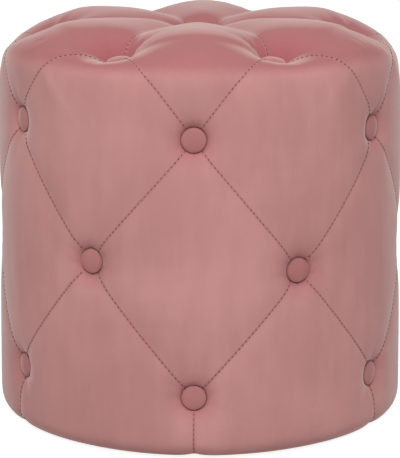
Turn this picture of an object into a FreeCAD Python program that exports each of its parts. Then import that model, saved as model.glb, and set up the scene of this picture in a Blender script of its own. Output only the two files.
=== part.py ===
import FreeCAD, Part
import math
import os

# A round button-tufted footstool. Millimetres, +Z up, origin on the floor under the middle.
# Front is -Y: one column of buttons faces it.

# Outer form of the padded body, over the crowns of its cells
BODY_RADIUS = 200.0
BODY_TOP = 398.0
HEM_HEIGHT = 3.0
HEM_ROUNDING = 17.0
EDGE_ROUNDING = 40.0
EDGE_LEAN = 50.0
CROWN_ROUNDING = 100.0
HEM_FACETS = 2
EDGE_FACETS = 2
CROWN_FACETS = 3

# Tufting pattern: buttons stand in rows, and every other row is turned by half a column. The
# upper row keeps just below the seat board, and the rows on the side slant a little.
COLUMNS = 6
LOWER_ROW_HEIGHT = 61.0
MIDDLE_ROW_HEIGHT = 181.0
UPPER_ROW_DROP = 11.7
ROW_SLANT = 7.4
RING_WELL_INSET = 56.0
RING_BUTTON_TILT = 12.0

# Wells under the buttons, and the stitched creases that run from well to well
SIDE_WELL_DEPTH = 15.0
SEAT_WELL_DEPTH = 38.0
WELL_FLOOR_RADIUS = 9.5
WELL_SPREAD = 1.25
WELL_PLEATS = 8
HEM_CREASE = 2.0
SIDE_CREASE = 4.0
SHOULDER_CREASE = 7.0
SEAT_CREASE = 16.0
CREASE_SPREAD = 1.28
CREASE_SPANS = 3
TOOL_MARGIN = 8.0

# Soft layers, from the outside in
SIDE_BACKING = 3.0
SEAT_BACKING = 5.0
COVER_BACK_CHAMFER = 20.0
HEM_THICKNESS = 2.0
HEM_TUCK = 34.0
SIDE_FOAM_THICKNESS = 13.0
SEAT_FOAM_THICKNESS = 28.0
LAYER_GAP = 0.3

# Timber frame
BOARD_THICKNESS = 12.0
BASE_OPENING_RADIUS = 70.0
WALL_THICKNESS = 3.0
WALL_GAP = 0.2
POST_COUNT = 4
POST_WIDTH = 28.0
POST_CHAMFER = 3.0
POST_TURN = 15.0

# Covered buttons, and the twine that draws each one in to a toggle behind the frame
BUTTON_RADIUS = 12.5
BUTTON_BACK_RADIUS = 8.0
BUTTON_RIM_HEIGHT = 3.8
BUTTON_SHOULDER_RADIUS = 8.0
BUTTON_SHOULDER_HEIGHT = 6.5
BUTTON_CROWN_RADIUS = 3.0
BUTTON_HEIGHT = 7.5
BUTTON_SIDES = 12
BUTTON_LIFT = 0.3
TWINE_RADIUS = 1.2
TWINE_SIDES = 4
TWINE_GAP = 0.4
TOGGLE_LENGTH = 26.0
TOGGLE_WIDTH = 7.0
TOGGLE_THICKNESS = 3.0
TOGGLE_GAP = 0.1

# Underside
DUST_COVER_THICKNESS = 0.6
DUST_COVER_LAP = 16.0
GLIDE_COUNT = 4
GLIDE_RADIUS = 11.0
GLIDE_RING_RADIUS = 118.0

AXIS = FreeCAD.Vector(0, 0, 1)
ORIGIN = FreeCAD.Vector(0, 0, 0)
COLUMN_TURN = 360.0 / COLUMNS

# The outline over the crowns: hem rounding, upright side, edge, crown, flat middle. A station is
# the distance along it from the start of the hem's rounding.
EDGE_TURN = math.radians(EDGE_LEAN)
HEM_MIDDLE_RADIUS = BODY_RADIUS - HEM_ROUNDING
HEM_MIDDLE_HEIGHT = HEM_HEIGHT + HEM_ROUNDING
CROWN_MIDDLE_HEIGHT = BODY_TOP - CROWN_ROUNDING
EDGE_MIDDLE_RADIUS = BODY_RADIUS - EDGE_ROUNDING
EDGE_MIDDLE_HEIGHT = CROWN_MIDDLE_HEIGHT + (CROWN_ROUNDING - EDGE_ROUNDING) * math.sin(EDGE_TURN)
CROWN_MIDDLE_RADIUS = EDGE_MIDDLE_RADIUS + (EDGE_ROUNDING - CROWN_ROUNDING) * math.cos(EDGE_TURN)
SIDE_START = HEM_ROUNDING * math.pi / 2
SIDE_END = SIDE_START + EDGE_MIDDLE_HEIGHT - HEM_MIDDLE_HEIGHT
CROWN_START = SIDE_END + EDGE_ROUNDING * EDGE_TURN
SEAT_START = CROWN_START + CROWN_ROUNDING * (math.pi / 2 - EDGE_TURN)
SEAT_MIDDLE = SEAT_START + CROWN_MIDDLE_RADIUS

# Radii and heights where pieces meet
COVER_BACK_RADIUS = BODY_RADIUS - SIDE_WELL_DEPTH - SIDE_BACKING
COVER_BACK_TOP = BODY_TOP - SEAT_WELL_DEPTH - SEAT_BACKING
HEM_TOP = HEM_HEIGHT + HEM_THICKNESS
TUCK_RADIUS = HEM_MIDDLE_RADIUS - HEM_TUCK
SEAT_BOARD_TOP = COVER_BACK_TOP - LAYER_GAP - SEAT_FOAM_THICKNESS
SEAT_BOARD_BOTTOM = SEAT_BOARD_TOP - BOARD_THICKNESS
BASE_BOARD_TOP = HEM_TOP + BOARD_THICKNESS
FOAM_RADIUS = COVER_BACK_RADIUS - LAYER_GAP
WALL_RADIUS = FOAM_RADIUS - SIDE_FOAM_THICKNESS - LAYER_GAP
WALL_INNER_RADIUS = WALL_RADIUS - WALL_THICKNESS
BOARD_RADIUS = WALL_INNER_RADIUS - WALL_GAP
POST_RING_RADIUS = BOARD_RADIUS - POST_WIDTH
TOGGLE_REACH = math.sqrt(WALL_INNER_RADIUS**2 - (TOGGLE_LENGTH / 2) ** 2) - TOGGLE_GAP
DUST_COVER_RADIUS = TUCK_RADIUS + DUST_COVER_LAP
DUST_COVER_BOTTOM = HEM_HEIGHT - DUST_COVER_THICKNESS


def on_arc(middle_radius, middle_height, size, lean):
    """Radius and height on an arc of the outline, and the two parts of its outward normal."""
    across, up = math.cos(lean), math.sin(lean)
    return middle_radius + size * across, middle_height + size * up, across, up


def outline(station):
    """Radius and height on the outline, and the two parts of its outward normal."""
    if station <= SIDE_START:
        lean = station / HEM_ROUNDING - math.pi / 2
        return on_arc(HEM_MIDDLE_RADIUS, HEM_MIDDLE_HEIGHT, HEM_ROUNDING, lean)
    if station <= SIDE_END:
        return BODY_RADIUS, HEM_MIDDLE_HEIGHT + station - SIDE_START, 1.0, 0.0
    if station <= CROWN_START:
        lean = (station - SIDE_END) / EDGE_ROUNDING
        return on_arc(EDGE_MIDDLE_RADIUS, EDGE_MIDDLE_HEIGHT, EDGE_ROUNDING, lean)
    if station <= SEAT_START:
        lean = EDGE_TURN + (station - CROWN_START) / CROWN_ROUNDING
        return on_arc(CROWN_MIDDLE_RADIUS, CROWN_MIDDLE_HEIGHT, CROWN_ROUNDING, lean)
    return CROWN_MIDDLE_RADIUS - (station - SEAT_START), BODY_TOP, 0.0, 1.0


def side_station(height):
    """The station of a height on the side."""
    return SIDE_START + height - HEM_MIDDLE_HEIGHT


def ring_place():
    """The station and depth of the ring's wells, which are as low as the middle one."""
    across = BODY_RADIUS - RING_WELL_INSET - CROWN_MIDDLE_RADIUS
    up = CROWN_ROUNDING - SEAT_WELL_DEPTH
    lean = math.atan2(up, across)
    return CROWN_START + CROWN_ROUNDING * (lean - EDGE_TURN), CROWN_ROUNDING - math.hypot(across, up)


LOWER_WELL = side_station(LOWER_ROW_HEIGHT), SIDE_WELL_DEPTH
MIDDLE_WELL = side_station(MIDDLE_ROW_HEIGHT), SIDE_WELL_DEPTH
UPPER_WELL = side_station(SEAT_BOARD_BOTTOM - UPPER_ROW_DROP), SIDE_WELL_DEPTH
RING_WELL = ring_place()
CENTRE_WELL = SEAT_MIDDLE, SEAT_WELL_DEPTH


def place(station, depth, turn):
    """A point this deep under the outline. Turn 0 faces the front and grows towards +X."""
    angle = math.radians(turn)
    share = min(max((station - SIDE_START) / (SIDE_END - SIDE_START), 0), 1)
    slant = ROW_SLANT * 4 * share * (1 - share) * math.sin(angle)
    radius, height, across, up = outline(station - slant)
    radius -= depth * across
    x, y = radius * math.sin(angle), -radius * math.cos(angle)
    return FreeCAD.Vector(x, y, height - depth * up)


def outward(tilt, turn):
    """The way a button faces: tilt 0 is level, 90 is straight up."""
    tilt, turn = math.radians(tilt), math.radians(turn)
    level = math.cos(tilt)
    return FreeCAD.Vector(level * math.sin(turn), -level * math.cos(turn), math.sin(tilt))


def set_in(shape, well, tilt, turn, lift=0.0):
    """A shape made about the upright axis, set on a well's floor, facing the way the button does."""
    facing = outward(tilt, turn)
    turned = FreeCAD.Rotation(AXIS, facing)
    shape.Placement = FreeCAD.Placement(place(*well, turn) + facing * lift, turned)
    return shape


def straight_columns():
    return [COLUMN_TURN * i for i in range(COLUMNS)]


def turned_columns():
    return [COLUMN_TURN * (i + 0.5) for i in range(COLUMNS)]


SEAT_ROWS = ["seat"]
SIDE_ROWS = ["upper", "middle", "lower"]


def button_rows():
    """Each row of buttons: its name, its wells' station and depth, its tilt, its columns."""
    return [
        ("lower", LOWER_WELL, 0, straight_columns()),
        ("middle", MIDDLE_WELL, 0, turned_columns()),
        ("upper", UPPER_WELL, 0, straight_columns()),
        ("seat", RING_WELL, 90 - RING_BUTTON_TILT, turned_columns()),
        ("seat", CENTRE_WELL, 90, [0.0]),
    ]


def revolved(corners):
    """A closed profile of (radius, height) corners, turned about the upright axis."""
    points = [FreeCAD.Vector(radius, 0, height) for radius, height in corners]
    return Part.Face(Part.makePolygon(points + points[:1])).revolve(ORIGIN, AXIS, 360)


def rounding(middle_radius, middle_height, size, first, last, facets):
    """The corners of a rounding in chords, after its start and up to its end."""
    leans = [first + (last - first) * i / facets for i in range(1, facets + 1)]
    return [on_arc(middle_radius, middle_height, size, lean)[:2] for lean in leans]


def ring_of_points(radius, height, count):
    """The corners of a regular polygon about the upright axis."""
    turns = [2 * math.pi * (i + 0.5) / count for i in range(count)]
    return [FreeCAD.Vector(radius * math.cos(a), radius * math.sin(a), height) for a in turns]


def lofted(sections):
    """A solid through polygons of as many points each, with a flat face between each pair of sides."""
    faces = [Part.Face(Part.makePolygon(s + s[:1])) for s in (sections[0], sections[-1])]
    for low, high in zip(sections, sections[1:]):
        for i in range(len(low)):
            corners = [low[i - 1], low[i], high[i], high[i - 1], low[i - 1]]
            faces.append(Part.Face(Part.makePolygon(corners)))
    shell = Part.Shell(faces)
    shell.sewShape()
    solid = Part.Solid(shell)
    if solid.Volume < 0:
        solid.reverse()
    return solid


def crease_tool(start, middle, end):
    """A V-shaped channel that bends from well to well, opening away from the bend's centre."""
    arc = Part.Arc(start, middle, end).toShape()
    height = SEAT_WELL_DEPTH + TOOL_MARGIN
    half_width = arc.Curve.Axis * (height * CREASE_SPREAD)
    sections = []
    for bottom in arc.discretize(CREASE_SPANS + 1):
        rise = (bottom - arc.Curve.Center).normalize() * height
        sections.append([bottom, bottom + rise + half_width, bottom + rise - half_width])
    return lofted(sections)


def crease_between(first, last, crease, first_turn, last_turn):
    """The channel between two wells, each given as its station and its depth."""
    middle = place((first[0] + last[0]) / 2, crease, (first_turn + last_turn) / 2)
    return crease_tool(place(*first, first_turn), middle, place(*last, last_turn))


def crease_tools():
    """Diamonds on the side and over the shoulder, spokes on the seat, one short crease to the hem."""
    hem, half = (SIDE_START, HEM_CREASE), COLUMN_TURN / 2
    tools = []
    for turn in straight_columns():
        spoke = turn + half
        tools.append(crease_between(hem, LOWER_WELL, SIDE_CREASE, turn, turn))
        tools.append(crease_between(RING_WELL, CENTRE_WELL, SEAT_CREASE, spoke, spoke))
        for side in (-half, half):
            tools.append(crease_between(LOWER_WELL, MIDDLE_WELL, SIDE_CREASE, turn, turn + side))
            tools.append(crease_between(UPPER_WELL, MIDDLE_WELL, SIDE_CREASE, turn, turn + side))
            tools.append(crease_between(UPPER_WELL, RING_WELL, SHOULDER_CREASE, turn, turn + side))
    return tools


def well_tool(depth):
    """What a button draws in: a flat floor, then pleats that spread out to the cells."""
    height = depth + TOOL_MARGIN
    floor = ring_of_points(WELL_FLOOR_RADIUS, 0, WELL_PLEATS)
    mouth = ring_of_points(WELL_FLOOR_RADIUS + WELL_SPREAD * height, height, WELL_PLEATS)
    return lofted([floor, mouth])


def well_tools():
    tools = []
    for _, well, tilt, turns in button_rows():
        tools += [set_in(well_tool(well[1]), well, tilt, turn) for turn in turns]
    return tools


def twine_ends(name, well, tilt, turn):
    """Where a button's twine leaves its back, and where it meets its toggle."""
    facing = outward(tilt, turn)
    start = place(*well, turn) + facing * BUTTON_LIFT
    if name == "seat":
        start.z -= TWINE_RADIUS
        return start, FreeCAD.Vector(start.x, start.y, SEAT_BOARD_BOTTOM - TOGGLE_GAP)
    return start, start - facing * (BODY_RADIUS - well[1] + BUTTON_LIFT - TOGGLE_REACH)


def bar(ends, radius):
    """A straight length of twine between two points, or the tool for its hole."""
    turned = FreeCAD.Rotation(AXIS, ends[1] - ends[0])
    corners = [turned.multVec(corner) for corner in ring_of_points(radius, 0, TWINE_SIDES)]
    return lofted([[end + corner for corner in corners] for end in ends])


def twines(rows):
    found = []
    for name, well, tilt, turns in button_rows():
        if name in rows:
            found += [bar(twine_ends(name, well, tilt, turn), TWINE_RADIUS) for turn in turns]
    return found


def twine_holes(rows):
    """Needle holes for the twines, open to both sides of whatever they are cut in."""
    found = []
    for name, well, tilt, turns in button_rows():
        if name in rows:
            for turn in turns:
                start, end = twine_ends(name, well, tilt, turn)
                beyond = (end - start).normalize() * WELL_FLOOR_RADIUS
                found.append(bar((start - beyond, end + beyond), TWINE_RADIUS + TWINE_GAP))
    return found


def toggle(name, well, tilt, turn):
    """A flat wooden bar behind the frame, with the twine tied round its middle."""
    size = TOGGLE_THICKNESS, TOGGLE_LENGTH, TOGGLE_WIDTH
    if name == "seat":
        size = TOGGLE_LENGTH, TOGGLE_WIDTH, TOGGLE_THICKNESS
    shape = Part.makeBox(*size)
    if name == "seat":
        shape.translate(FreeCAD.Vector(-TOGGLE_LENGTH / 2, -TOGGLE_WIDTH / 2, -TOGGLE_THICKNESS))
    else:
        shape.translate(FreeCAD.Vector(-TOGGLE_THICKNESS, -TOGGLE_LENGTH / 2, -TOGGLE_WIDTH / 2))
    shape.rotate(ORIGIN, AXIS, turn - 90)
    shape.translate(twine_ends(name, well, tilt, turn)[1])
    return shape


def toggles(rows):
    found = []
    for name, well, tilt, turns in button_rows():
        if name in rows:
            found += [toggle(name, well, tilt, turn) for turn in turns]
    return found


def velvet_cover():
    """Velvet over its stuffed diamonds: welled and creased outside, plain at the back, hem tucked in."""
    hem = HEM_MIDDLE_RADIUS, HEM_MIDDLE_HEIGHT, HEM_ROUNDING
    edge = EDGE_MIDDLE_RADIUS, EDGE_MIDDLE_HEIGHT, EDGE_ROUNDING
    crown = CROWN_MIDDLE_RADIUS, CROWN_MIDDLE_HEIGHT, CROWN_ROUNDING
    upright = math.pi / 2
    corners = [(TUCK_RADIUS, HEM_HEIGHT), (HEM_MIDDLE_RADIUS, HEM_HEIGHT)]
    corners += rounding(*hem, -upright, 0, HEM_FACETS)
    corners.append((BODY_RADIUS, EDGE_MIDDLE_HEIGHT))
    corners += rounding(*edge, 0, EDGE_TURN, EDGE_FACETS)
    corners += rounding(*crown, EDGE_TURN, upright, CROWN_FACETS)
    corners.append((0, BODY_TOP))
    corners += back_corners(0.0, HEM_TOP)
    corners.append((TUCK_RADIUS, HEM_TOP))
    body = revolved(corners).cut(crease_tools()).cut(well_tools())
    return body.cut(twine_holes(SEAT_ROWS + SIDE_ROWS))


def back_corners(inset, bottom):
    """The plain form of the cover's back, or of a layer this far inside it, from the middle out."""
    drawn = inset * (math.sqrt(2) - 1)
    return [
        (0, COVER_BACK_TOP - inset),
        (COVER_BACK_RADIUS - COVER_BACK_CHAMFER - drawn, COVER_BACK_TOP - inset),
        (COVER_BACK_RADIUS - inset, COVER_BACK_TOP - COVER_BACK_CHAMFER - drawn),
        (COVER_BACK_RADIUS - inset, bottom),
    ]


def seat_foam():
    """The foam block on the seat board, with its edge cut back under the shoulder."""
    corners = back_corners(LAYER_GAP, SEAT_BOARD_TOP)
    return revolved(corners + [(0, SEAT_BOARD_TOP)]).cut(twine_holes(SEAT_ROWS))


def side_foam():
    """The foam sheet wrapped round the drum, up to the seat foam."""
    inner, low, top = WALL_RADIUS + LAYER_GAP, HEM_TOP + LAYER_GAP, SEAT_BOARD_TOP
    corners = [(inner, low), (FOAM_RADIUS, low), (FOAM_RADIUS, top), (inner, top)]
    return revolved(corners).cut(twine_holes(SIDE_ROWS))


def drum_wall():
    """Hardboard bent round the two boards."""
    inner, low, top = WALL_INNER_RADIUS, HEM_TOP, SEAT_BOARD_TOP
    corners = [(inner, low), (WALL_RADIUS, low), (WALL_RADIUS, top), (inner, top)]
    return revolved(corners).cut(twine_holes(SIDE_ROWS))


def seat_board():
    low = FreeCAD.Vector(0, 0, SEAT_BOARD_BOTTOM)
    return Part.makeCylinder(BOARD_RADIUS, BOARD_THICKNESS, low).cut(twine_holes(SEAT_ROWS))


def base_board():
    """A ring that holds the foot of the drum. Its opening lets the twines be tied."""
    low = FreeCAD.Vector(0, 0, HEM_TOP)
    board = Part.makeCylinder(BOARD_RADIUS, BOARD_THICKNESS, low)
    return board.cut(Part.makeCylinder(BASE_OPENING_RADIUS, BOARD_THICKNESS, low))


def post_turns():
    return [POST_TURN + 360.0 * i / POST_COUNT for i in range(POST_COUNT)]


def upright(radius, turn, height):
    """A point on an upright line that stands this far from the middle."""
    angle = math.radians(turn)
    return FreeCAD.Vector(radius * math.sin(angle), -radius * math.cos(angle), height)


def post(turn):
    """A square pine post with its long edges planed off."""
    far, near = POST_WIDTH / 2, POST_WIDTH / 2 - POST_CHAMFER
    corner = [(far, near), (near, far)]
    plan = [(x, y) for x, y in corner]
    for _ in range(3):
        corner = [(-y, x) for x, y in corner]
        plan += corner
    sections = []
    for height in (BASE_BOARD_TOP, SEAT_BOARD_BOTTOM):
        sections.append([FreeCAD.Vector(x, y, height) for x, y in plan])
    shape = lofted(sections)
    shape.rotate(ORIGIN, AXIS, turn)
    shape.translate(upright(POST_RING_RADIUS, turn, 0))
    return shape


def button():
    """A covered button: flat back, sides that spread to the rim, low dome."""
    steps = [
        (BUTTON_BACK_RADIUS, 0),
        (BUTTON_RADIUS, BUTTON_RIM_HEIGHT),
        (BUTTON_SHOULDER_RADIUS, BUTTON_SHOULDER_HEIGHT),
        (BUTTON_CROWN_RADIUS, BUTTON_HEIGHT),
    ]
    return lofted([ring_of_points(radius, height, BUTTON_SIDES) for radius, height in steps])


def buttons(row):
    found = []
    for name, well, tilt, turns in button_rows():
        if name == row:
            found += [set_in(button(), well, tilt, turn, BUTTON_LIFT) for turn in turns]
    return found


def glides():
    """Plastic discs nailed up through the dust cover into the base board."""
    found = []
    for i in range(GLIDE_COUNT):
        middle = upright(GLIDE_RING_RADIUS, 360.0 * (i + 0.5) / GLIDE_COUNT, 0)
        found.append(Part.makeCylinder(GLIDE_RADIUS, DUST_COVER_BOTTOM, middle))
    return found


def dust_cover():
    """A thin black cloth over the hem's tucked edge and the opening in the base."""
    low = FreeCAD.Vector(0, 0, DUST_COVER_BOTTOM)
    return Part.makeCylinder(DUST_COVER_RADIUS, DUST_COVER_THICKNESS, low)


def nodes():
    """Every named piece, as a list of its solids."""
    found = {
        "velvet_cover": [velvet_cover()],
        "seat_foam": [seat_foam()],
        "side_foam": [side_foam()],
        "seat_board": [seat_board()],
        "base_board": [base_board()],
        "drum_wall": [drum_wall()],
        "seat_twines": twines(SEAT_ROWS),
        "side_twines": twines(SIDE_ROWS),
        "seat_toggles": toggles(SEAT_ROWS),
        "side_toggles": toggles(SIDE_ROWS),
        "dust_cover": [dust_cover()],
        "glides": glides(),
    }
    for number, turn in enumerate(post_turns(), 1):
        found[f"post_{number}"] = [post(turn)]
    for row in SEAT_ROWS + SIDE_ROWS:
        found[f"{row}_buttons"] = buttons(row)
    return found


os.makedirs("parts", exist_ok=True)
for name, solids in nodes().items():
    shape = solids[0] if len(solids) == 1 else Part.makeCompound(solids)
    shape.exportStep(f"parts/{name}.step")
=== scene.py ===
import math

import bmesh
import bpy
import numpy as np
from mathutils import Matrix, Vector, kdtree


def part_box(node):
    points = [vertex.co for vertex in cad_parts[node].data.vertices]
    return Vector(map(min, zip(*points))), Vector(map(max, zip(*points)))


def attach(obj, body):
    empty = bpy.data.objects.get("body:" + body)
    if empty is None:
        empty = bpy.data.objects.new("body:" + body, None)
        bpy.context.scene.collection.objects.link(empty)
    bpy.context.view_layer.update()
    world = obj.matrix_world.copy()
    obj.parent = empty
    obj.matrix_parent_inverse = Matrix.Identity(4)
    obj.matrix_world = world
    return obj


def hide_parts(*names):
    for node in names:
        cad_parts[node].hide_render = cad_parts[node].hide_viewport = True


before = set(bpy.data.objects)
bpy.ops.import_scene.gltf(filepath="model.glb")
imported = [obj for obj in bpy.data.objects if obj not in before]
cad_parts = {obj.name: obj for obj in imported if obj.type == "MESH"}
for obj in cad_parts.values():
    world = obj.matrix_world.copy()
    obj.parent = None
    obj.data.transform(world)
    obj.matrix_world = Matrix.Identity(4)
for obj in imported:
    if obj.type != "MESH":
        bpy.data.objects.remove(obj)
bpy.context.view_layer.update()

# Camera. It stands two metres in front, a little to the right of the front column of buttons, and
# looks down on the seat through a long lens, as in the photograph.
camera_turn = math.radians(1.7)
camera_distance = 2.0
camera_height = 0.619
camera_pitch = math.radians(12.4)
camera_lens = 159.6

across, back = camera_distance * math.sin(camera_turn), camera_distance * math.cos(camera_turn)
bpy.ops.object.camera_add(
    location=(across, -back, camera_height),
    rotation=(math.pi / 2 - camera_pitch, 0, camera_turn),
)
camera = bpy.context.object
camera.data.lens = camera_lens
camera.data.sensor_width = 36
bpy.context.scene.camera = camera


# Floor and studio. A pale floor that keeps the stool's soft shadow, a white surround, and four soft
# square lamps: most of the light comes from in front, the rest from above and from both sides.
floor_size = 16
floor_colour = (0.6, 0.6, 0.6, 1)
floor_lift = 0.88
room_colour = (1, 1, 1, 1)
room_light = 0.33
lamp_aim = Vector((0, 0, 0.25))


def add_node(tree, kind, inputs=(), **settings):
    """A node with its settings, and with each input set to a value or linked from a socket."""
    made = tree.nodes.new(kind)
    for name, value in settings.items():
        setattr(made, name, value)
    for name, value in dict(inputs).items():
        if isinstance(value, bpy.types.NodeSocket):
            tree.links.new(value, made.inputs[name])
        else:
            made.inputs[name].default_value = value
    return made


bpy.ops.object.select_all(action="DESELECT")
bpy.ops.mesh.primitive_plane_add(size=floor_size)
floor = bpy.context.object
floor.name = "studio_floor"
paint = bpy.data.materials.new("studio_floor")
paint.use_nodes = True
tree = paint.node_tree
tree.nodes.clear()
ray = add_node(tree, "ShaderNodeLightPath")
matt = add_node(tree, "ShaderNodeBsdfDiffuse", {"Color": floor_colour})
lift = add_node(
    tree, "ShaderNodeMath", {0: ray.outputs["Is Camera Ray"], 1: floor_lift}, operation="MULTIPLY")
glow = add_node(tree, "ShaderNodeEmission", {"Strength": lift.outputs[0]})
both = add_node(tree, "ShaderNodeAddShader", {0: matt.outputs[0], 1: glow.outputs[0]})
clear = add_node(tree, "ShaderNodeBsdfTransparent")
side = add_node(tree, "ShaderNodeNewGeometry")
one_sided = add_node(tree, "ShaderNodeMixShader", {
    0: side.outputs["Backfacing"], 1: both.outputs[0], 2: clear.outputs[0]})
add_node(tree, "ShaderNodeOutputMaterial", {"Surface": one_sided.outputs[0]})
floor.data.materials.append(paint)

world = bpy.data.worlds.new("studio")
bpy.context.scene.world = world
world.use_nodes = True
tree = world.node_tree
tree.nodes.clear()
ray = add_node(tree, "ShaderNodeLightPath")
soft = add_node(tree, "ShaderNodeBackground", {"Color": room_colour, "Strength": room_light})
white = add_node(tree, "ShaderNodeBackground", {"Color": room_colour, "Strength": 1.0})
seen = add_node(tree, "ShaderNodeMixShader", {
    0: ray.outputs["Is Camera Ray"], 1: soft.outputs[0], 2: white.outputs[0]})
add_node(tree, "ShaderNodeOutputWorld", {"Surface": seen.outputs[0]})


def soft_lamp(name, place, size, power):
    """A square lamp that faces the stool's middle."""
    bpy.ops.object.light_add(type="AREA", location=place)
    lamp = bpy.context.object
    lamp.name = name
    aim = lamp_aim - Vector(place)
    lamp.rotation_euler = aim.to_track_quat("-Z", "Y").to_euler()
    lamp.data.size = size
    lamp.data.energy = power


soft_lamp("front_lamp", (0.0, -1.45, 1.4), 0.8, 18)
soft_lamp("top_lamp", (0.0, -0.4, 1.6), 1.0, 6)
soft_lamp("left_lamp", (-2.2, -1.2, 0.9), 1.2, 9)
soft_lamp("right_lamp", (2.2, -1.2, 0.9), 1.2, 9)
bpy.context.scene.view_settings.view_transform = "Standard"


# Velvet cover. Cut diamonds of short-pile velvet, sewn edge to edge and stuffed with fibre, then
# drawn in by twine at every button. It wraps the drum, and its hem is stapled under the base.
columns = 6
half_column = math.pi / columns
seam_quads = 28
hem_rounding = 0.017
edge_rounding = 0.028
edge_turn = math.radians(55)
crown_rounding = 0.115
body_taper = 0.011
row_slant = 0.0074
ring_well_inset = 0.056
ring_button_tilt = math.radians(12)
side_well_depth = 0.015
seat_well_depth = 0.038

cover_low, cover_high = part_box("velvet_cover")
body_radius = cover_high[0]
body_top = cover_high[2]
hem_height = cover_low[2]
hem_middle = body_radius - hem_rounding, hem_height + hem_rounding
crown_middle_height = body_top - crown_rounding
edge_middle_radius = body_radius - edge_rounding
middles_apart = crown_rounding - edge_rounding
edge_middle = edge_middle_radius, crown_middle_height + middles_apart * math.sin(edge_turn)
crown_middle = edge_middle_radius - middles_apart * math.cos(edge_turn), crown_middle_height
side_start = hem_rounding * math.pi / 2
side_end = side_start + edge_middle[1] - hem_middle[1]
crown_start = side_end + edge_rounding * edge_turn
seat_start = crown_start + crown_rounding * (math.pi / 2 - edge_turn)
seat_middle = seat_start + crown_middle[0]


def row_station(node):
    """The distance along the outline of a row of buttons on the side."""
    low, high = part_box(node)
    return side_start + (low[2] + high[2]) / 2 - hem_middle[1]


ring_across = body_radius - ring_well_inset - crown_middle[0]
ring_lean = math.atan2(crown_rounding - seat_well_depth, ring_across)
ring_well_depth = crown_rounding - math.hypot(crown_rounding - seat_well_depth, ring_across)
ring_row = crown_start + crown_rounding * (ring_lean - edge_turn)
rows = [0.0, row_station("lower_buttons"), row_station("middle_buttons"), row_station("upper_buttons")]
rows += [ring_row, seat_middle]


def outline(station):
    """Radius, height and outward normal on the padded body's outline, by distance from the hem."""
    hem = np.clip(station / hem_rounding - math.pi / 2, None, 0)
    edge = np.clip((station - side_end) / edge_rounding, 0, edge_turn)
    crown = np.clip((station - crown_start) / crown_rounding, 0, math.pi / 2 - edge_turn)
    arc = (station > side_start).astype(int) + (station > crown_start)
    size = np.array([hem_rounding, edge_rounding, crown_rounding])[arc]
    middle = np.array([hem_middle, edge_middle, crown_middle])[arc]
    out, up = np.cos(hem + edge + crown), np.sin(hem + edge + crown)
    radius = middle[..., 0] + size * out - np.maximum(station - seat_start, 0)
    height = middle[..., 1] + size * up + np.where(arc == 1, np.minimum(station - side_end, 0), 0)
    return radius * (1 + body_taper * (1 - height / body_radius)), height, out, up


def on_body(turn, station):
    """Points on the outline and their normals. Turn 0 is the front and grows towards +X."""
    share = np.clip((station - side_start) / (side_end - side_start), 0, 1)
    radius, height, out, up = outline(station - row_slant * 4 * share * (1 - share) * np.sin(turn))
    x, y = np.sin(turn), -np.cos(turn)
    points = np.stack([radius * x, radius * y, height], axis=-1)
    return points, np.stack([out * x, out * y, up], axis=-1)


def choose(piece, test, kind="verts"):
    """In edit mode, selects just the vertices, edges or faces that pass a test."""
    bpy.ops.mesh.select_mode(type={"verts": "VERT", "edges": "EDGE", "faces": "FACE"}[kind])
    bpy.ops.mesh.select_all(action="DESELECT")
    shape = bmesh.from_edit_mesh(piece.data)
    for part in getattr(shape, kind):
        if test(part):
            part.select_set(True)
    bmesh.update_edit_mesh(piece.data)


def row_of(corner):
    """The row of a corner of the cage, which is as tall as the outline is long."""
    return min(range(len(rows)), key=lambda row: abs(rows[row] - corner.co.z))


def column_of(corner):
    """The half column of a corner of the cage, counted round from the front."""
    return round(math.atan2(corner.co.x, -corner.co.y) / half_column)


def has_button(corner):
    """Buttons stand on every other corner of a row, turned by a half column from row to row."""
    row = row_of(corner)
    return row == len(rows) - 1 or (row > 0 and (row + column_of(corner)) % 2 == 1)


# The cage is a straight tower with a ring of corners for each row of buttons and a pole on top
bpy.ops.object.select_all(action="DESELECT")
bpy.ops.mesh.primitive_circle_add(vertices=2 * columns, radius=body_radius)
cover = bpy.context.object
cover.name = "velvet_skin"
bpy.ops.object.mode_set(mode="EDIT")
bpy.ops.mesh.select_all(action="SELECT")
for low_row, high_row in zip(rows[:-2], rows[1:-1]):
    bpy.ops.mesh.extrude_region_move(TRANSFORM_OT_translate={"value": (0, 0, high_row - low_row)})
seat_share = float(outline(np.array(ring_row))[0]) / body_radius
bpy.ops.transform.resize(value=(seat_share, seat_share, 1), center_override=(0, 0, ring_row))
bpy.ops.mesh.edge_face_add()
bpy.ops.mesh.poke()
for corner in bmesh.from_edit_mesh(cover.data).verts:
    if corner.co.xy.length < 0.001:
        corner.co.z = seat_middle

# Seams run from button to button, and each corner between them goes, which leaves the diamonds
choose(cover, has_button)
bpy.ops.mesh.vert_connect()
choose(cover, lambda corner: row_of(corner) > 0 and not has_button(corner))
bpy.ops.mesh.dissolve_verts()
choose(cover, lambda edge: edge.verts[0].co.z + edge.verts[1].co.z > 0.001, "edges")
bpy.ops.mesh.mark_seam(clear=False)
choose(cover, lambda corner: row_of(corner) in (0, 2) and column_of(corner) % 2)
bpy.ops.mesh.vert_connect()
bpy.ops.mesh.select_all(action="SELECT")
bpy.ops.mesh.subdivide(number_cuts=seam_quads - 1)
bpy.ops.mesh.normals_make_consistent(inside=False)
bpy.ops.object.mode_set(mode="OBJECT")

# Buttons' places on the outline
button_turns = []
button_stations = []
for row in range(1, len(rows) - 1):
    for column in range(columns):
        button_turns.append((2 * column + (row + 1) % 2) * half_column)
        button_stations.append(rows[row])
button_turns = np.array(button_turns + [0.0])
button_stations = np.array(button_stations + [seat_middle])
button_points = on_body(button_turns, button_stations)[0]
button_depths = np.select([button_stations == seat_middle, button_stations == ring_row],
                          [seat_well_depth, ring_well_depth], side_well_depth)


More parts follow.
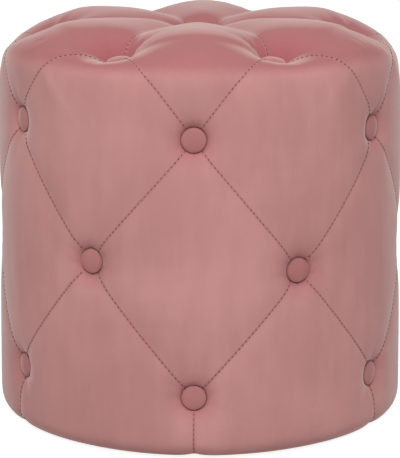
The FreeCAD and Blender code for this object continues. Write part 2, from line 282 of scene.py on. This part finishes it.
def tower_places(piece):
    """The turn and station of each vertex of the cage."""
    places = np.empty(len(piece.data.vertices) * 3)
    piece.data.vertices.foreach_get("co", places)
    places = places.reshape(-1, 3)
    return np.arctan2(places[:, 0], -places[:, 1]), places[:, 2].copy()


def gather_mesh(turn, station):
    """Draws the mesh in towards the buttons, where the folds are finest."""
    reach, strength = 0.055, 0.3
    points = on_body(turn, station)[0]
    for i in range(len(button_turns)):
        gap = np.linalg.norm(points - button_points[i], axis=1)
        pull = np.where(gap < reach, (np.maximum(gap, 1e-6) / reach) ** strength, 1.0)
        apart = (turn - button_turns[i] + math.pi) % (2 * math.pi) - math.pi
        if button_stations[i] < seat_middle:
            turn = np.where(gap < reach, button_turns[i] + apart * pull, turn)
        station = np.where(gap < reach, button_stations[i] + (station - button_stations[i]) * pull, station)
    return turn, station


turn, station = gather_mesh(*tower_places(cover))
crown, normal = on_body(turn, station)

# Distance to the nearest seam and to the nearest button, over the surface
seam_edges = [edge.vertices[:] for edge in cover.data.edges if edge.use_seam]
seam_tree = kdtree.KDTree(len(seam_edges) * 4)
for number, (start, end) in enumerate(seam_edges):
    for step in range(4):
        seam_tree.insert(crown[start] + (crown[end] - crown[start]) * step / 4, number)
seam_tree.balance()
seam_gap = np.array([seam_tree.find(point)[2] for point in crown])
on_seam = np.zeros(len(crown), bool)
on_seam[np.array(seam_edges).ravel()] = True
seam_gap[on_seam] = 0


def smooth_step(low, high, value):
    """A share that eases from 0 to 1 as the value goes from low to high."""
    share = np.clip((value - low) / (high - low), 0, 1)
    return share * share * (3 - 2 * share)


# Channels are shallow and narrow on the side, and the seat adds to both. Each well has a slope that
# the stuffing makes round the button's rim, and drops steeply to the button's back inside it.
button_radius = 0.0125
side_channel_depth, side_channel_width = 0.0024, 0.008
seat_channel_more_depth, seat_channel_more_width = 0.0076, 0.013
side_rim_depth, seat_rim_depth = 0.0076, 0.0285
side_slope_width, seat_slope_width = 0.013, 0.020
side_fold_height, seat_fold_height = 0.0004, 0.0034
pucker_height, pucker_pitch = 0.00035, 0.0125


def skin_depth(turn, station, seam_gap):
    """How deep the skin lies under the outline: stitched channels, button wells and their folds."""
    points = on_body(turn, station)[0]
    up_seat = smooth_step(crown_start - 0.01, ring_row + 0.03, station)
    channel_depth = side_channel_depth + seat_channel_more_depth * up_seat
    channel_width = side_channel_width + seat_channel_more_width * up_seat
    channel = channel_depth * np.exp(-((seam_gap / channel_width) ** 1.15))
    away = np.linalg.norm(points[:, None] - button_points[None], axis=2)
    nearest = away.argmin(axis=1)
    gap = away.min(axis=1)
    deep = button_depths[nearest]
    in_ring = button_stations[nearest] == ring_row
    in_seat = button_stations[nearest] >= ring_row
    aside = (turn - button_turns[nearest] + math.pi) % (2 * math.pi) - math.pi
    beyond = in_ring & (station < ring_row)
    past_rim = np.maximum(np.where(beyond, gap * 0.84, gap) - button_radius, 0)
    rim_depth = np.where(in_seat, seat_rim_depth, side_rim_depth)
    slope_width = np.where(in_seat, seat_slope_width, side_slope_width)
    well = rim_depth * np.exp(-((past_rim / slope_width) ** 1.1))
    well += (deep - rim_depth) * (1 - smooth_step(0.008, 0.0145, gap))
    angle = np.arctan2(aside * np.linalg.norm(points[:, :2], axis=1), station - button_stations[nearest])
    fold = np.sin(11 * angle + 2.4 * nearest) + 0.6 * np.sin(17 * angle + 1.3 * nearest)
    fold_height = np.where(in_seat, seat_fold_height, side_fold_height)
    fold *= np.where(beyond, 0.3, 1.0) * fold_height * smooth_step(0.010, 0.018, gap)
    fold *= np.exp(-np.maximum(gap - 0.018, 0) / 0.010)
    pucker = pucker_height * np.exp(-seam_gap / 0.007) * np.sin(gap * 2 * math.pi / pucker_pitch)
    fold += pucker * smooth_step(0.016, 0.030, gap) * (1 - up_seat)
    return (channel**3 + well**3) ** (1 / 3) + fold * (1 - np.exp(-seam_gap / 0.006)), gap, nearest


depth, button_gap, button_near = skin_depth(turn, station, seam_gap)
skin = crown - normal * depth[:, None]
cover.data.vertices.foreach_set("co", skin.ravel())
cover.data.update()

# The stuffing swells each diamond between its stitched sides, its buttons and the hem
most_swell = 0.0028
swell_steps = 20
held = cover.vertex_groups.new(name="held")
fixed = (seam_gap < 0.003) | (button_gap < 0.026) | (station < side_start)
held.add([int(i) for i in np.flatnonzero(fixed)], 1.0, "REPLACE")
swelling = cover.modifiers.new("swelling", "CLOTH")
swelling.settings.vertex_group_mass = "held"
swelling.settings.use_pressure = True
swelling.settings.uniform_pressure_force = 4
swelling.settings.tension_stiffness = swelling.settings.compression_stiffness = 5
swelling.settings.effector_weights.gravity = 0
swelling.collision_settings.use_collision = False
swelling.point_cache.frame_end = swell_steps
for step in range(1, swell_steps + 1):
    bpy.context.scene.frame_set(step)
swollen = np.empty(skin.size)
cover.evaluated_get(bpy.context.evaluated_depsgraph_get()).data.vertices.foreach_get("co", swollen)
move = swollen.reshape(-1, 3) - skin
length = np.maximum(np.linalg.norm(move, axis=1), 1e-9)
skin += move * np.minimum(1, most_swell / length)[:, None]
cover.modifiers.remove(swelling)
cover.vertex_groups.remove(held)
bpy.context.scene.frame_set(1)
cover.data.vertices.foreach_set("co", skin.ravel())
cover.data.update()
# Painted shade: a share that grows from just past the drum's top edge, so the seat is coloured darker where
# less light falls on its upward faces.
seat_painted_shade = smooth_step(side_end + 0.004, side_end + 0.020, station)
# Painted shade: a share that grows with the skin's depth under the outline, so wells and channels are
# coloured darker.
hollow_painted_shade = depth / button_depths[button_near]
fields = {"seam_gap": seam_gap, "button_gap": button_gap, "hollow_painted_shade": hollow_painted_shade, "seat_painted_shade": seat_painted_shade}
for name, values in fields.items():
    field = cover.data.attributes.new(name, "FLOAT", "POINT")
    field.data.foreach_set("value", values.astype(np.float32))

bpy.ops.object.select_all(action="DESELECT")
cover.select_set(True)
bpy.context.view_layer.objects.active = cover
bpy.ops.object.shade_smooth()
finer = cover.modifiers.new("finer", "SUBSURF")
finer.levels = finer.render_levels = 1
bpy.ops.object.modifier_apply(modifier="finer")

# Under the hem the cloth turns in to its staples, and the stuffing's plain back closes the pad
side_backing, seat_backing = 0.003, 0.005
tuck_width = 0.034
back_chamfer = 0.020
cloth_rise = 0.002
back_radius = body_radius - side_well_depth - side_backing
back_top = body_top - seat_well_depth - seat_backing
tuck_radius = hem_middle[0] - tuck_width
bpy.ops.object.mode_set(mode="EDIT")
choose(cover, lambda edge: edge.is_boundary, "edges")
hem_ring = float(outline(np.array(0.0))[0])
back = [(tuck_radius, 0.0), (tuck_radius, cloth_rise), (back_radius, cloth_rise)]
back += [(back_radius, back_top - back_chamfer - hem_height)]
back += [(back_radius - back_chamfer, back_top - hem_height)]
last_radius, last_rise = hem_ring, 0.0
for radius, rise in back:
    bpy.ops.mesh.extrude_region_move(TRANSFORM_OT_translate={"value": (0, 0, rise - last_rise)})
    share = radius / last_radius
    bpy.ops.transform.resize(value=(share, share, 1), center_override=(0, 0, hem_height))
    last_radius, last_rise = radius, rise
bpy.ops.mesh.edge_face_add()
bpy.ops.mesh.poke()
bpy.ops.mesh.select_all(action="SELECT")
bpy.ops.mesh.normals_make_consistent(inside=False)
bpy.ops.object.mode_set(mode="OBJECT")
bpy.ops.object.shade_smooth_by_angle(angle=math.radians(50))


def new_group(name, inputs, outputs):
    """A node group with its named inputs and outputs, and the sockets that bring the inputs in."""
    made = bpy.data.node_groups.new(name, "ShaderNodeTree")
    for side, sockets in (("INPUT", inputs), ("OUTPUT", outputs)):
        for socket, kind in sockets.items():
            made.interface.new_socket(socket, in_out=side, socket_type="NodeSocket" + kind)
    return made, add_node(made, "NodeGroupInput").outputs


# Velvet's pile, shared by the cover and its buttons: brushed patches and the fine nap
pile, given = new_group("velvet_pile", {"Place": "Vector"}, {"Brushed": "Float", "Nap": "Float"})
place = given["Place"]
patches = add_node(pile, "ShaderNodeTexNoise", {
    "Vector": place, "Scale": 9.0, "Detail": 3.0, "Distortion": 0.6})
streaks = add_node(pile, "ShaderNodeMapping", {"Vector": place, "Scale": (70, 70, 16)})
streaks = add_node(pile, "ShaderNodeTexNoise", {
    "Vector": streaks.outputs[0], "Scale": 1.0, "Detail": 2.0})
brushed = add_node(pile, "ShaderNodeMix", {
    "Factor": 0.3, "A": patches.outputs["Fac"], "B": streaks.outputs["Fac"]})
brushed = add_node(pile, "ShaderNodeMapRange", {
    "Value": brushed.outputs[0], "From Min": 0.38, "From Max": 0.64})
nap = add_node(pile, "ShaderNodeTexNoise", {"Vector": place, "Scale": 1300.0, "Detail": 2.0})
add_node(pile, "NodeGroupOutput", {"Brushed": brushed.outputs[0], "Nap": nap.outputs["Fac"]})


def blend(tree, share, first, second):
    """A colour between two, by a share."""
    made = add_node(tree, "ShaderNodeMix", {0: share, 6: first, 7: second}, data_type="RGBA")
    return made.outputs[2]


def finish_velvet(tree, colour, nap):
    """The velvet's surface, with a painted sheen: paler and greyer where the pile is seen from the side."""
    grazing = add_node(tree, "ShaderNodeLayerWeight", {"Blend": 0.5})
    # Painted sheen: a pale grey mixed into the colour where the surface is seen edge-on.
    painted_sheen = add_node(tree, "ShaderNodeMapRange", {
        "Value": grazing.outputs["Facing"], "From Min": 0.58, "From Max": 0.95, "To Max": 0.7})
    colour = blend(tree, painted_sheen.outputs[0], colour, (0.68, 0.49, 0.455, 1))
    bump = add_node(tree, "ShaderNodeBump", {"Height": nap, "Strength": 0.25, "Distance": 0.0006})
    surface = add_node(tree, "ShaderNodeBsdfPrincipled", {
        "Base Color": colour, "Roughness": 0.85, "Specular IOR Level": 0.12, "Sheen Weight": 0.3,
        "Sheen Roughness": 0.4, "Sheen Tint": (1.0, 0.84, 0.80, 1), "Normal": bump.outputs[0]})
    add_node(tree, "ShaderNodeOutputMaterial", {"Surface": surface.outputs[0]})


def new_paint(name):
    """A material with an empty tree, and that tree."""
    made = bpy.data.materials.new(name)
    made.use_nodes = True
    made.node_tree.nodes.clear()
    return made, made.node_tree


def attribute(tree, name, low, high):
    """A share that grows from 0 to 1 as a field of the mesh goes from low to high."""
    field = add_node(tree, "ShaderNodeAttribute", attribute_name=name).outputs["Fac"]
    share = add_node(tree, "ShaderNodeMapRange", {"Value": field, "From Min": low, "From Max": high})
    return share.outputs[0]


cover_velvet, tree = new_paint("velvet_of_cover")
where = add_node(tree, "ShaderNodeTexCoord").outputs["Object"]
pile_marks = add_node(tree, "ShaderNodeGroup", node_tree=pile)
tree.links.new(where, pile_marks.inputs["Place"])
colour = blend(tree, pile_marks.outputs["Brushed"], (0.462, 0.218, 0.208, 1), (0.532, 0.260, 0.247, 1))
# Painted shade: the seat, past the drum's edge, is darker and redder than the side.
colour = blend(tree, attribute(tree, "seat_painted_shade", 0, 1), colour, (0.365, 0.136, 0.138, 1))
# Painted shade: darker and redder the deeper the skin lies in a well or channel.
colour = blend(tree, attribute(tree, "hollow_painted_shade", 0.15, 0.95), colour, (0.370, 0.110, 0.120, 1))
# Painted shade: a thin darker line down the bottom of each stitched channel.
colour = blend(tree, attribute(tree, "seam_gap", 0.0020, 0.0), colour, (0.420, 0.180, 0.172, 1))
# Painted shadow: a dark ring round each button, where the velvet runs under its rim.
colour = blend(tree, attribute(tree, "button_gap", 0.0130, 0.0116), colour, (0.190, 0.060, 0.062, 1))
finish_velvet(tree, colour, pile_marks.outputs["Nap"])

cover.data.materials.append(cover_velvet)
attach(cover, "root")
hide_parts("velvet_cover")


# Stitches. A thread of a darker pink joins the diamonds, one short stitch after another along each
# channel, from the rim of one button to the rim of the next.
stitch_pitch = 0.0047
stitch_size = (0.00048, 0.00120, 0.00036)
stitch_rise = 0.00030


def tower_corner(row, column):
    """A corner of the cage: the columns count round in halves from the front."""
    radius = [body_radius] * 4 + [body_radius * seat_share, 0.0]
    turn = column * half_column
    return np.array([radius[row] * math.sin(turn), -radius[row] * math.cos(turn), rows[row]])


def seam_points(start, end):
    """Points and normals along the bottom of a channel, and their distances to a button."""
    share = np.linspace(0, 1, 400)[:, None]
    path = tower_corner(*start) * (1 - share) + tower_corner(*end) * share
    turn, station = np.arctan2(path[:, 0], -path[:, 1]), path[:, 2]
    if end[0] == len(rows) - 1:
        turn = np.full(len(share), start[1] * half_column)
    depth, gap = skin_depth(turn, station, np.zeros(len(turn)))[:2]
    points, normals = on_body(turn, station)
    return points - normals * depth[:, None], normals, gap


def placed_copy(pattern, place):
    """A copy of a piece, with a mesh of its own, moved to its place."""
    copy = bpy.data.objects.new(pattern.name, pattern.data.copy())
    copy.data.transform(place)
    bpy.context.collection.objects.link(copy)
    return copy


def joined(name, pieces):
    """The pieces as one object of that name."""
    bpy.ops.object.select_all(action="DESELECT")
    for piece in pieces:
        piece.select_set(True)
    bpy.context.view_layer.objects.active = pieces[0]
    bpy.ops.object.join()
    pieces[0].name = name
    return pieces[0]


seams = []
for column in range(0, 2 * columns, 2):
    seams += [((0, column), (1, column)), ((4, column + 1), (5, column + 1))]
    for side in (-1, 1):
        beside = column + side
        seams += [((1, column), (2, beside)), ((3, column), (2, beside)), ((3, column), (4, beside))]
bpy.ops.object.select_all(action="DESELECT")
bpy.ops.mesh.primitive_uv_sphere_add(segments=6, ring_count=5, radius=1)
one_stitch = bpy.context.object
one_stitch.scale = stitch_size
bpy.ops.object.transform_apply(location=False, rotation=False, scale=True)
stitches = []
for start, end in seams:
    points, normals, gap = seam_points(start, end)
    steps = np.linalg.norm(np.diff(points, axis=0), axis=1)
    run = np.concatenate([[0], np.cumsum(steps)])
    for mark in np.arange(stitch_pitch / 2, run[-1], stitch_pitch):
        i = int(np.searchsorted(run, mark))
        if gap[i] < button_radius - 0.001:
            continue
        along = Vector(points[min(i + 2, len(run) - 1)] - points[max(i - 2, 0)]).normalized()
        up = Vector(normals[i])
        aside = along.cross(up).normalized()
        turned = Matrix((aside, along, aside.cross(along))).transposed().to_4x4()
        lifted = Matrix.Translation(Vector(points[i]) + up * stitch_rise)
        stitches.append(placed_copy(one_stitch, lifted @ turned))
bpy.data.objects.remove(one_stitch)
thread = joined("seam_stitches", stitches)
bpy.ops.object.shade_smooth()
thread_paint, tree = new_paint("seam_thread")
where = add_node(tree, "ShaderNodeTexCoord").outputs["Object"]
twist = add_node(tree, "ShaderNodeTexNoise", {"Vector": where, "Scale": 2500.0, "Detail": 1.0})
colour = blend(tree, twist.outputs["Fac"], (0.10, 0.030, 0.030, 1), (0.17, 0.055, 0.053, 1))
surface = add_node(tree, "ShaderNodeBsdfPrincipled", {
    "Base Color": colour, "Roughness": 0.7, "Specular IOR Level": 0.3})
add_node(tree, "ShaderNodeOutputMaterial", {"Surface": surface.outputs[0]})
thread.data.materials.clear()
thread.data.materials.append(thread_paint)
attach(thread, "root")


# Covered buttons. A metal shell wrapped in the cover's velvet, gathered behind its rim, and drawn
# down by twine until the diamonds swell round it.
shell_radius, shell_depth, shell_middle = 0.0117, 0.004, 0.0045
button_lift = 0.0003

button_velvet, tree = new_paint("velvet_of_buttons")
where = add_node(tree, "ShaderNodeTexCoord").outputs["Object"]
pile_marks = add_node(tree, "ShaderNodeGroup", node_tree=pile)
tree.links.new(where, pile_marks.inputs["Place"])
# Painted shade: the same velvet as the cover's, given darker tones for the buttons.
colour = blend(tree, pile_marks.outputs["Brushed"], (0.385, 0.155, 0.152, 1), (0.440, 0.190, 0.184, 1))
finish_velvet(tree, colour, pile_marks.outputs["Nap"])


def covered_button():
    """One button about the upright axis, its back at the origin."""
    bpy.ops.object.select_all(action="DESELECT")
    bpy.ops.mesh.primitive_cylinder_add(
        vertices=32, radius=shell_radius, depth=shell_depth, location=(0, 0, shell_middle))
    piece = bpy.context.object
    bpy.ops.object.mode_set(mode="EDIT")
    choose(piece, lambda face: face.normal.z > 0.5, "faces")
    for size, rise in ((0.93, 0.0008), (0.78, 0.0009), (0.55, 0.0006), (0.28, 0.0003)):
        bpy.ops.mesh.extrude_region_move(TRANSFORM_OT_translate={"value": (0, 0, rise)})
        bpy.ops.transform.resize(value=(size, size, 1))
    bpy.ops.mesh.poke()
    choose(piece, lambda face: face.normal.z < -0.5, "faces")
    bpy.ops.mesh.extrude_region_move(TRANSFORM_OT_translate={"value": (0, 0, -0.0022)})
    bpy.ops.transform.resize(value=(0.66, 0.66, 1))
    bpy.ops.object.mode_set(mode="OBJECT")
    bpy.ops.object.transform_apply(location=True, rotation=True, scale=True)
    bpy.ops.object.shade_smooth()
    finer = piece.modifiers.new("finer", "SUBSURF")
    finer.levels = finer.render_levels = 2
    bpy.ops.object.modifier_apply(modifier="finer")
    return piece


def button_frame(number):
    """The place of a button: the middle of its back, with +Z the way that it faces."""
    turn = button_turns[number]
    point, out = on_body(turn, button_stations[number])
    facing = out
    if button_stations[number] == ring_row:
        level, up = math.sin(ring_button_tilt), math.cos(ring_button_tilt)
        facing = np.array([level * math.sin(turn), -level * math.cos(turn), up])
    back = Vector(point - out * button_depths[number] + facing * button_lift)
    return Matrix.Translation(back) @ Vector(facing).to_track_quat("Z", "Y").to_matrix().to_4x4()


pattern = covered_button()
button_nodes = ["lower_buttons", "middle_buttons", "upper_buttons", "seat_buttons"]
for row, node in enumerate(button_nodes, 1):
    numbers = [i for i in range(len(button_stations)) if abs(button_stations[i] - rows[row]) < 1e-6]
    if node == "seat_buttons":
        numbers.append(len(button_stations) - 1)
    buttons = joined("covered_" + node, [placed_copy(pattern, button_frame(number)) for number in numbers])
    buttons.data.materials.clear()
    buttons.data.materials.append(button_velvet)
    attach(buttons, "root")
    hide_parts(node)
bpy.data.objects.remove(pattern)


# Foam. A thick disc of foam on the seat board and a sleeve of thinner foam round the wall, both cut
# from sheet and glued down, with a hole for every twine.
hole_radius = 0.0016
sleeve_thickness = 0.013
rim_bevel = 0.004

foam, tree = new_paint("foam")
where = add_node(tree, "ShaderNodeTexCoord").outputs["Object"]
pores = add_node(tree, "ShaderNodeTexVoronoi", {"Vector": where, "Scale": 900.0})
colour = blend(tree, pores.outputs["Distance"], (0.70, 0.62, 0.42, 1), (0.84, 0.78, 0.60, 1))
bump = add_node(tree, "ShaderNodeBump", {"Height": pores.outputs["Distance"], "Distance": 0.0006})
surface = add_node(tree, "ShaderNodeBsdfPrincipled", {
    "Base Color": colour, "Roughness": 0.95, "Specular IOR Level": 0.1, "Normal": bump.outputs[0]})
add_node(tree, "ShaderNodeOutputMaterial", {"Surface": surface.outputs[0]})


def with_holes(pad, node, numbers, length):
    """The pad with a twine's hole bored through it at each of these buttons."""
    drills = []
    for number in numbers:
        bpy.ops.object.select_all(action="DESELECT")
        bpy.ops.mesh.primitive_cylinder_add(vertices=10, radius=hole_radius, depth=length)
        drill = bpy.context.object
        place = button_frame(number)
        if node == "seat_foam":
            place = Matrix.Translation(place.translation)
        drill.data.transform(place)
        drills.append(drill)
    drill = joined("drill", drills)
    cutter = pad.modifiers.new("holes", "BOOLEAN")
    cutter.object = drill
    bpy.ops.object.select_all(action="DESELECT")
    pad.select_set(True)
    bpy.context.view_layer.objects.active = pad
    bpy.ops.object.modifier_apply(modifier="holes")
    bpy.data.objects.remove(drill)
    bpy.ops.object.shade_smooth_by_angle(angle=math.radians(40))
    pad.data.materials.append(foam)
    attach(pad, "root")
    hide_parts(node)


seat_numbers = [i for i in range(len(button_stations)) if button_stations[i] >= ring_row]
side_numbers = [i for i in range(len(button_stations)) if button_stations[i] < ring_row]
low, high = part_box("seat_foam")
bpy.ops.object.select_all(action="DESELECT")
bpy.ops.mesh.primitive_cylinder_add(
    vertices=96, radius=high[0], depth=high[2] - low[2], location=(0, 0, (low[2] + high[2]) / 2))
seat_pad = bpy.context.object
seat_pad.name = "seat_foam_disc"
bpy.ops.object.transform_apply()
bpy.ops.object.mode_set(mode="EDIT")
middle = (low[2] + high[2]) / 2
choose(seat_pad, lambda edge: min(corner.co.z for corner in edge.verts) > middle, "edges")
bpy.ops.mesh.bevel(offset=rim_bevel, segments=3)
bpy.ops.object.mode_set(mode="OBJECT")
with_holes(seat_pad, "seat_foam", seat_numbers, 0.12)

low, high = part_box("side_foam")
bpy.ops.object.select_all(action="DESELECT")
bpy.ops.mesh.primitive_cylinder_add(
    vertices=96, radius=high[0], depth=high[2] - low[2], end_fill_type="NOTHING",
    location=(0, 0, (low[2] + high[2]) / 2), rotation=(0, 0, math.pi / 96))
sleeve = bpy.context.object
sleeve.name = "side_foam_sleeve"
bpy.ops.object.transform_apply()
wall = sleeve.modifiers.new("wall", "SOLIDIFY")
wall.thickness = sleeve_thickness
bpy.ops.object.modifier_apply(modifier="wall")
with_holes(sleeve, "side_foam", side_numbers, 0.05)


# Dust cover. A disc of thin black cloth closes the base; its edge is folded under once and held,
# over the velvet's turned-in hem, by a ring of wire staples.
cloth_thickness = 0.00025
fold_width = 0.013
staple_count = 28
staple_size = (0.0011, 0.010, 0.0005)

low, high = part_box("dust_cover")
bpy.ops.object.select_all(action="DESELECT")
bpy.ops.mesh.primitive_circle_add(
    vertices=112, radius=high[0], fill_type="NOTHING", location=(0, 0, high[2] - 0.0001))
dust = bpy.context.object
dust.name = "dust_cloth"
bpy.ops.object.transform_apply()
bpy.ops.object.mode_set(mode="EDIT")
bpy.ops.mesh.select_all(action="SELECT")
last = high[0]
rings = [(high[0] - 0.0006, -0.0002), (high[0] - fold_width, 0), (high[0] - fold_width - 0.0005, 0.0002)]
rings += [(0.12, 0), (0.08, 0), (0.04, 0)]
for radius, drop in rings:
    bpy.ops.mesh.extrude_region_move(TRANSFORM_OT_translate={"value": (0, 0, drop)})
    bpy.ops.transform.resize(value=(radius / last, radius / last, 1), center_override=(0, 0, 0))
    last = radius
bpy.ops.mesh.edge_face_add()
bpy.ops.mesh.poke()
bpy.ops.mesh.select_all(action="SELECT")
bpy.ops.mesh.normals_make_consistent(inside=False)
bpy.ops.object.mode_set(mode="OBJECT")
thick = dust.modifiers.new("cloth", "SOLIDIFY")
thick.thickness = cloth_thickness
bpy.ops.object.modifier_apply(modifier="cloth")
bpy.ops.object.shade_smooth_by_angle(angle=math.radians(40))
black, tree = new_paint("dust_cloth")
where = add_node(tree, "ShaderNodeTexCoord").outputs["Object"]
fibres = add_node(tree, "ShaderNodeTexNoise", {
    "Vector": where, "Scale": 700.0, "Detail": 3.0, "Distortion": 2.0})
spots = add_node(tree, "ShaderNodeTexVoronoi", {"Vector": where, "Scale": 600.0})
colour = blend(tree, fibres.outputs["Fac"], (0.010, 0.010, 0.011, 1), (0.035, 0.035, 0.037, 1))
bump = add_node(tree, "ShaderNodeBump", {"Height": spots.outputs["Distance"], "Distance": 0.0002})
surface = add_node(tree, "ShaderNodeBsdfPrincipled", {
    "Base Color": colour, "Roughness": 0.9, "Specular IOR Level": 0.2, "Normal": bump.outputs[0]})
add_node(tree, "ShaderNodeOutputMaterial", {"Surface": surface.outputs[0]})
dust.data.materials.append(black)
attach(dust, "root")
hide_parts("dust_cover")

bpy.ops.object.select_all(action="DESELECT")
bpy.ops.mesh.primitive_cube_add(size=1)
one_staple = bpy.context.object
one_staple.scale = staple_size
bpy.ops.object.transform_apply(location=False, rotation=False, scale=True)
round_over = one_staple.modifiers.new("round", "BEVEL")
round_over.width, round_over.segments = 0.0002, 2
bpy.ops.object.modifier_apply(modifier="round")
staples = []
for i in range(staple_count):
    turn = 2 * math.pi * (i + 0.5) / staple_count
    slant = math.radians(14) * math.sin(5.1 * i)
    spot = Matrix.Translation((high[0] - 0.006, 0, low[2] - 0.0001)) @ Matrix.Rotation(slant, 4, "Z")
    staples.append(placed_copy(one_staple, Matrix.Rotation(turn, 4, "Z") @ spot))
bpy.data.objects.remove(one_staple)
staples = joined("hem_staples", staples)
steel, tree = new_paint("staple_wire")
where = add_node(tree, "ShaderNodeTexCoord").outputs["Object"]
drawn = add_node(tree, "ShaderNodeTexNoise", {"Vector": where, "Scale": 900.0})
rough = add_node(tree, "ShaderNodeMapRange", {"Value": drawn.outputs["Fac"], "To Min": 0.25, "To Max": 0.5})
surface = add_node(tree, "ShaderNodeBsdfPrincipled", {
    "Base Color": (0.62, 0.62, 0.63, 1), "Metallic": 1.0, "Roughness": rough.outputs[0]})
add_node(tree, "ShaderNodeOutputMaterial", {"Surface": surface.outputs[0]})
staples.data.materials.append(steel)
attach(staples, "root")


# Glides. Four discs of black moulded plastic that carry the stool. Each is dished underneath round
# the head of the nail that holds it to the base board, through the dust cover.
low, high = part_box("glides")
glide_radius = 0.011
glide_reach = high[0] - glide_radius


def dished_disc():
    """One glide about the upright axis, its underside in the floor's plane."""
    bpy.ops.object.select_all(action="DESELECT")
    bpy.ops.mesh.primitive_cylinder_add(
        vertices=32, radius=glide_radius, depth=high[2], location=(0, 0, high[2] / 2))
    piece = bpy.context.object
    bpy.ops.object.transform_apply()
    bpy.ops.object.mode_set(mode="EDIT")
    choose(piece, lambda face: face.normal.z < -0.5, "faces")
    dish = [(0.62, 0.0), (0.90, 0.0012), (0.62, 0.0)]
    nail_head = [(1.0, -0.0006), (0.75, -0.0002), (0.4, -0.0001)]
    for size, rise in dish + nail_head:
        bpy.ops.mesh.extrude_region_move(TRANSFORM_OT_translate={"value": (0, 0, rise)})
        bpy.ops.transform.resize(value=(size, size, 1), center_override=(0, 0, 0))
    bpy.ops.object.mode_set(mode="OBJECT")
    edge = piece.modifiers.new("edge", "BEVEL")
    edge.width, edge.segments, edge.limit_method = 0.0003, 2, "ANGLE"
    bpy.ops.object.modifier_apply(modifier="edge")
    bpy.ops.object.mode_set(mode="EDIT")
    bpy.ops.mesh.select_all(action="SELECT")
    bpy.ops.mesh.remove_doubles(threshold=0.00001)
    bpy.ops.object.mode_set(mode="OBJECT")
    bpy.ops.object.shade_smooth_by_angle(angle=math.radians(35))
    return piece


pattern = dished_disc()
discs = []
for quarter in range(4):
    turned = Matrix.Rotation(math.radians(45 + 90 * quarter), 4, "Z")
    discs.append(placed_copy(pattern, turned @ Matrix.Translation((glide_reach, 0, 0))))
bpy.data.objects.remove(pattern)
glides = joined("floor_glides", discs)
plastic, tree = new_paint("glide_plastic")
where = add_node(tree, "ShaderNodeTexCoord").outputs["Object"]
scuffs = add_node(tree, "ShaderNodeTexNoise", {
    "Vector": where, "Scale": 350.0, "Detail": 4.0, "Distortion": 1.5})
rough = add_node(tree, "ShaderNodeMapRange", {"Value": scuffs.outputs["Fac"], "To Min": 0.35, "To Max": 0.6})
colour = blend(tree, scuffs.outputs["Fac"], (0.020, 0.020, 0.021, 1), (0.045, 0.045, 0.046, 1))
surface = add_node(tree, "ShaderNodeBsdfPrincipled", {"Base Color": colour, "Roughness": rough.outputs[0]})
add_node(tree, "ShaderNodeOutputMaterial", {"Surface": surface.outputs[0]})
glides.data.materials.append(plastic)
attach(glides, "root")
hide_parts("glides")


# Frame. Plywood boards, pine posts and toggles, a bent hardboard wall and waxed twine, all bare
# inside the padding. Their CAD shapes stay, and each gets its own grain.
grain, given = new_group(
    "wood_grain", {"Place": "Vector", "Stretch": "Vector", "Scale": "Float"}, {"Grain": "Float"})
along = add_node(grain, "ShaderNodeMapping", {"Vector": given["Place"], "Scale": given["Stretch"]})
lines = add_node(grain, "ShaderNodeTexNoise", {
    "Vector": along.outputs[0], "Scale": given["Scale"], "Detail": 5.0, "Distortion": 1.2})
add_node(grain, "NodeGroupOutput", {"Grain": lines.outputs["Fac"]})


def bare(name, dark, pale, stretch, scale):
    """A bare, unpainted material whose grain is stretched along one axis."""
    made, tree = new_paint(name)
    where = add_node(tree, "ShaderNodeTexCoord").outputs["Object"]
    marks = add_node(
        tree, "ShaderNodeGroup", {"Place": where, "Stretch": stretch, "Scale": scale}, node_tree=grain)
    colour = blend(tree, marks.outputs["Grain"], dark, pale)
    bump = add_node(tree, "ShaderNodeBump", {
        "Height": marks.outputs["Grain"], "Strength": 0.4, "Distance": 0.0004})
    surface = add_node(tree, "ShaderNodeBsdfPrincipled", {
        "Base Color": colour, "Roughness": 0.7, "Normal": bump.outputs[0]})
    add_node(tree, "ShaderNodeOutputMaterial", {"Surface": surface.outputs[0]})
    return made


plywood = bare("plywood", (0.48, 0.32, 0.17, 1), (0.72, 0.55, 0.35, 1), (3, 30, 60), 4.0)
hardboard = bare("hardboard", (0.20, 0.11, 0.05, 1), (0.36, 0.22, 0.12, 1), (1, 1, 1), 400.0)
pine = bare("pine", (0.58, 0.38, 0.19, 1), (0.80, 0.62, 0.40, 1), (40, 40, 3), 4.0)
twine = bare("twine", (0.55, 0.48, 0.36, 1), (0.82, 0.77, 0.66, 1), (1, 1, 1), 1800.0)
finishes = {
    "seat_board": plywood, "base_board": plywood, "drum_wall": hardboard,
    "seat_twines": twine, "side_twines": twine}
for node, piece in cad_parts.items():
    if node in finishes or node.startswith("post") or node.endswith("toggles"):
        piece.data.materials.clear()
        piece.data.materials.append(finishes.get(node, pine))
